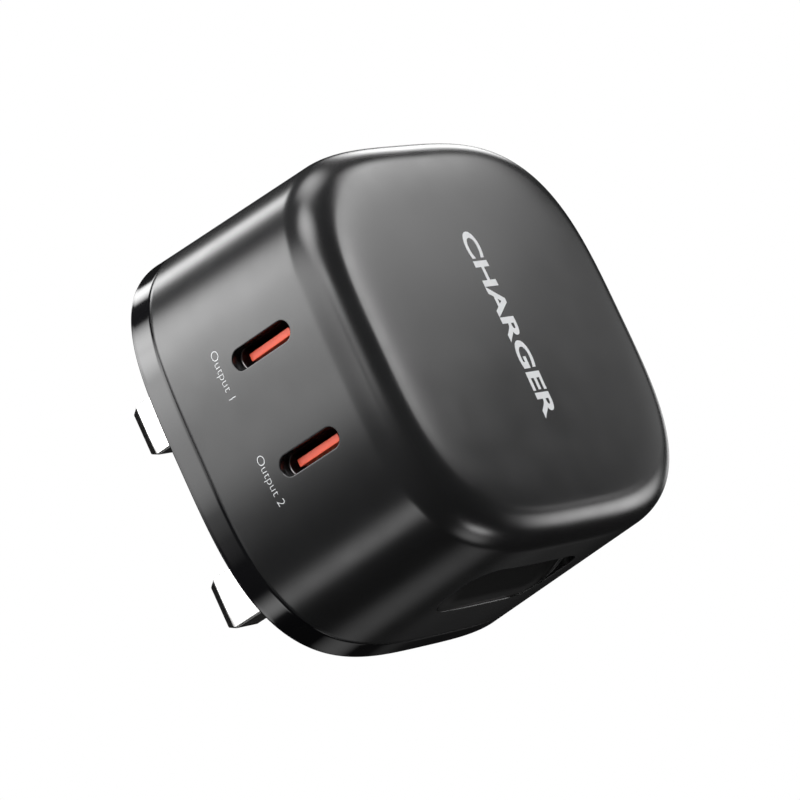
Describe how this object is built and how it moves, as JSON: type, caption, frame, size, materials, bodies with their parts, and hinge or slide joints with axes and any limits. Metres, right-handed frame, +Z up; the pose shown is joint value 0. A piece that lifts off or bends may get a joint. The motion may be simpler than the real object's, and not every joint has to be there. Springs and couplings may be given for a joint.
{
  "type": "usb wall charger",
  "caption": "Compact rounded-square USB-C wall charger with fixed British plug pins, gloss rear rim, finger grips in the sides and its ports on the underside.",
  "frame": {"origin": "middle of the rear face, which lies against the wall plate", "axes": "+Y into the wall along the pins, +Z up with the earth pin at the top and the USB-C ports underneath, +X along the row of ports towards the line pin"},
  "size_m": [0.0514, 0.0519, 0.0522],
  "materials": {
    "shell": "satin, finely eroded moulded surface",
    "gloss_rim": "piano gloss",
    "black_plastic": "matt moulded",
    "nickel": "bright nickel plating",
    "brass": "bright rolled strip",
    "steel": "fine drawn strip",
    "aluminium": "plain rolled sheet and cans",
    "gold": "gold flash plating",
    "orange_insulator": "satin moulded",
    "board": "green solder mask",
    "chip": "matt epoxy",
    "ferrite": "dull sintered ferrite",
    "tape": "polyester tape over the winding",
    "copper": "enamelled wire",
    "film_box": "satin moulded box",
    "ceramic": "dipped epoxy",
    "can_sleeve": "shrink sleeve",
    "thermal_pad": "soft matt silicone",
    "film_sheet": "thin polyester film"
  },
  "bodies": {
    "root": {"front_case": "shell", "rear_cover": "gloss_rim", "line_pin": "nickel", "neutral_pin": "nickel", "earth_pin": "black_plastic", "line_pin_sleeve": "black_plastic", "neutral_pin_sleeve": "black_plastic", "pin_retainer": "black_plastic", "line_contact_spring": "brass", "neutral_contact_spring": "brass", "main_board": "board", "usb_board": "board", "board_header": "black_plastic", "usb_c_shell_1": "steel", "usb_c_shell_2": "steel", "usb_c_tongue_1": "orange_insulator", "usb_c_tongue_2": "orange_insulator", "usb_c_contacts_1": "gold", "usb_c_contacts_2": "gold", "pd_controller_1": "chip", "pd_controller_2": "chip", "fuse": "chip", "varistor": "ceramic", "x_capacitor": "film_box", "choke_core": "ferrite", "choke_winding_1": "copper", "choke_winding_2": "copper", "bridge_rectifier": "chip", "bulk_capacitor_1": "can_sleeve", "bulk_capacitor_2": "can_sleeve", "supply_capacitor": "can_sleeve", "primary_controller": "chip", "gan_switch": "chip", "sync_rectifier": "chip", "transformer_core_1": "ferrite", "transformer_core_2": "ferrite", "transformer_bobbin": "black_plastic", "transformer_winding": "tape", "y_capacitor": "ceramic", "optocoupler": "chip", "output_inductor": "ferrite", "output_capacitor_1": "aluminium", "output_capacitor_2": "aluminium", "insulation_sheet": "film_sheet", "thermal_pad": "thermal_pad", "heat_spreader": "aluminium"}
  },
  "joints": []
}
